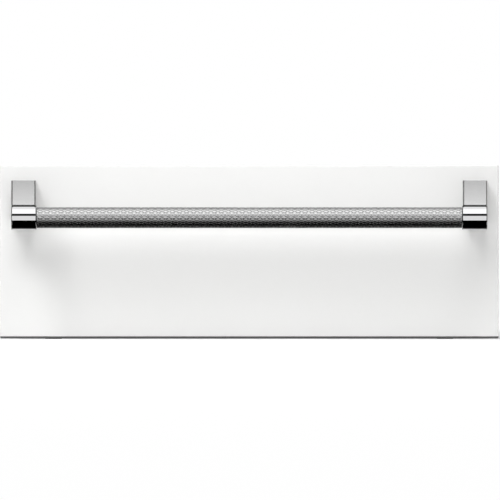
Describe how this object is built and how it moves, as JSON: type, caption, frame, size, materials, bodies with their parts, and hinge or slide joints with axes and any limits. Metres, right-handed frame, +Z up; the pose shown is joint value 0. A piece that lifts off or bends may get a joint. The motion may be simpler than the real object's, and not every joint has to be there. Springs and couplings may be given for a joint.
{
  "type": "built-in warming drawer",
  "caption": "Built-in warming drawer: plain painted front, knurled bar handle on square posts, telescopic ball slides, deep tub with wire rack over a heating element, hidden control strip.",
  "frame": {"origin": "on the surface the feet stand on, under the middle of the whole drawer with its handle", "axes": "+X to the right seen from the front, the front faces -Y, +Z up"},
  "size_m": [0.7588, 0.682, 0.2645],
  "materials": {
    "white_paint": "smooth baked white paint on steel sheet",
    "knurled_metal": "diamond knurled stainless steel",
    "polished_metal": "polished stainless steel",
    "brushed_post": "stainless steel brushed from top to bottom",
    "stainless_sheet": "stainless steel sheet, long grain",
    "zinc_sheet": "zinc coated steel sheet with a faint spangle",
    "zinc_hardware": "zinc plated steel",
    "slide_steel": "zinc plated cold rolled steel, lightly greased",
    "bearing_steel": "polished bearing steel",
    "chrome_wire": "plated wire, welded",
    "element_sheath": "dark heat coloured nickel alloy tube",
    "mineral_wool": "matted mineral wool",
    "black_rubber": "matte black silicone rubber",
    "black_plastic": "fine grained black heat resistant plastic",
    "button_gloss": "dark grey moulded keys",
    "smoked_glass": "dark tinted clear lens",
    "board_green": "solder masked board with parts",
    "cable_sleeve": "sleeved heat resistant leads"
  },
  "bodies": {
    "chassis": {"base_pan": "zinc_sheet", "top_cover": "zinc_sheet", "side_panel_left": "zinc_sheet", "side_panel_right": "zinc_sheet", "rear_cover": "zinc_sheet", "front_frame": "stainless_sheet", "liner_floor": "stainless_sheet", "liner_left": "stainless_sheet", "liner_right": "stainless_sheet", "liner_roof": "stainless_sheet", "liner_rear": "stainless_sheet", "insulation_blankets": "mineral_wool", "feet": "black_rubber", "chassis_screws": "zinc_hardware", "heating_element": "element_sheath", "element_brackets": "stainless_sheet", "temperature_sensor": "element_sheath", "thermal_cutout": "black_plastic", "control_housing": "zinc_sheet", "control_fascia": "black_plastic", "display_window": "smoked_glass", "control_board": "board_green", "power_board": "board_green", "terminal_block": "black_plastic", "supply_gland": "black_plastic", "wiring_loom": "cable_sleeve", "slide_outer_left": "slide_steel", "slide_outer_right": "slide_steel", "slide_rivets": "zinc_hardware"},
    "slide_middles": {"slide_middle_left": "slide_steel", "slide_middle_right": "slide_steel"},
    "outer_cages": {"outer_ball_cages": "slide_steel", "outer_balls": "bearing_steel"},
    "inner_cages": {"inner_ball_cages": "slide_steel", "inner_balls": "bearing_steel"},
    "drawer": {"slide_inner_left": "slide_steel", "slide_inner_right": "slide_steel", "drawer_rail_left": "stainless_sheet", "drawer_rail_right": "stainless_sheet", "drawer_rail_back": "stainless_sheet", "drawer_rivets": "zinc_hardware", "drawer_screws": "zinc_hardware", "drawer_tub": "stainless_sheet", "wire_rack": "chrome_wire", "front_skin": "white_paint", "front_insulation": "mineral_wool", "front_liner": "stainless_sheet", "front_seal": "black_rubber", "handle_bar": "knurled_metal", "handle_cap_left": "polished_metal", "handle_cap_right": "polished_metal", "handle_post_left": "brushed_post", "handle_post_right": "brushed_post", "handle_backings": "zinc_hardware", "handle_bolts": "zinc_hardware"},
    "vent_plate": {"vent_slider": "stainless_sheet"},
    "power_key": {"button_power": "button_gloss"},
    "cooler_key": {"button_cooler": "button_gloss"},
    "warmer_key": {"button_warmer": "button_gloss"},
    "timer_key": {"button_timer": "button_gloss"}
  },
  "joints": [
    {"name": "drawer_slide", "type": "slide", "parent": "chassis", "child": "drawer", "axis": [0, -1, 0], "range_m": [0, 0.45]},
    {"name": "slide_middle_travel", "type": "slide", "parent": "chassis", "child": "slide_middles", "axis": [0, -1, 0], "range_m": [0, 0.225]},
    {"name": "outer_cage_travel", "type": "slide", "parent": "chassis", "child": "outer_cages", "axis": [0, -1, 0], "range_m": [0, 0.1125]},
    {"name": "inner_cage_travel", "type": "slide", "parent": "chassis", "child": "inner_cages", "axis": [0, -1, 0], "range_m": [0, 0.3375]},
    {"name": "vent_slide", "type": "slide", "parent": "drawer", "child": "vent_plate", "axis": [1, 0, 0], "range_m": [0, 0.01]},
    {"name": "power_press", "type": "slide", "parent": "chassis", "child": "power_key", "axis": [0, 1, 0], "range_m": [0, 0.001], "stiffness_N_per_m": 400, "springref_m": -0.003},
    {"name": "cooler_press", "type": "slide", "parent": "chassis", "child": "cooler_key", "axis": [0, 1, 0], "range_m": [0, 0.001], "stiffness_N_per_m": 400, "springref_m": -0.003},
    {"name": "warmer_press", "type": "slide", "parent": "chassis", "child": "warmer_key", "axis": [0, 1, 0], "range_m": [0, 0.001], "stiffness_N_per_m": 400, "springref_m": -0.003},
    {"name": "timer_press", "type": "slide", "parent": "chassis", "child": "timer_key", "axis": [0, 1, 0], "range_m": [0, 0.001], "stiffness_N_per_m": 400, "springref_m": -0.003}
  ],
  "couplings": [
    {"joint": "slide_middle_travel", "follows": "drawer_slide", "ratio": 0.5},
    {"joint": "outer_cage_travel", "follows": "drawer_slide", "ratio": 0.25},
    {"joint": "inner_cage_travel", "follows": "drawer_slide", "ratio": 0.75}
  ]
}
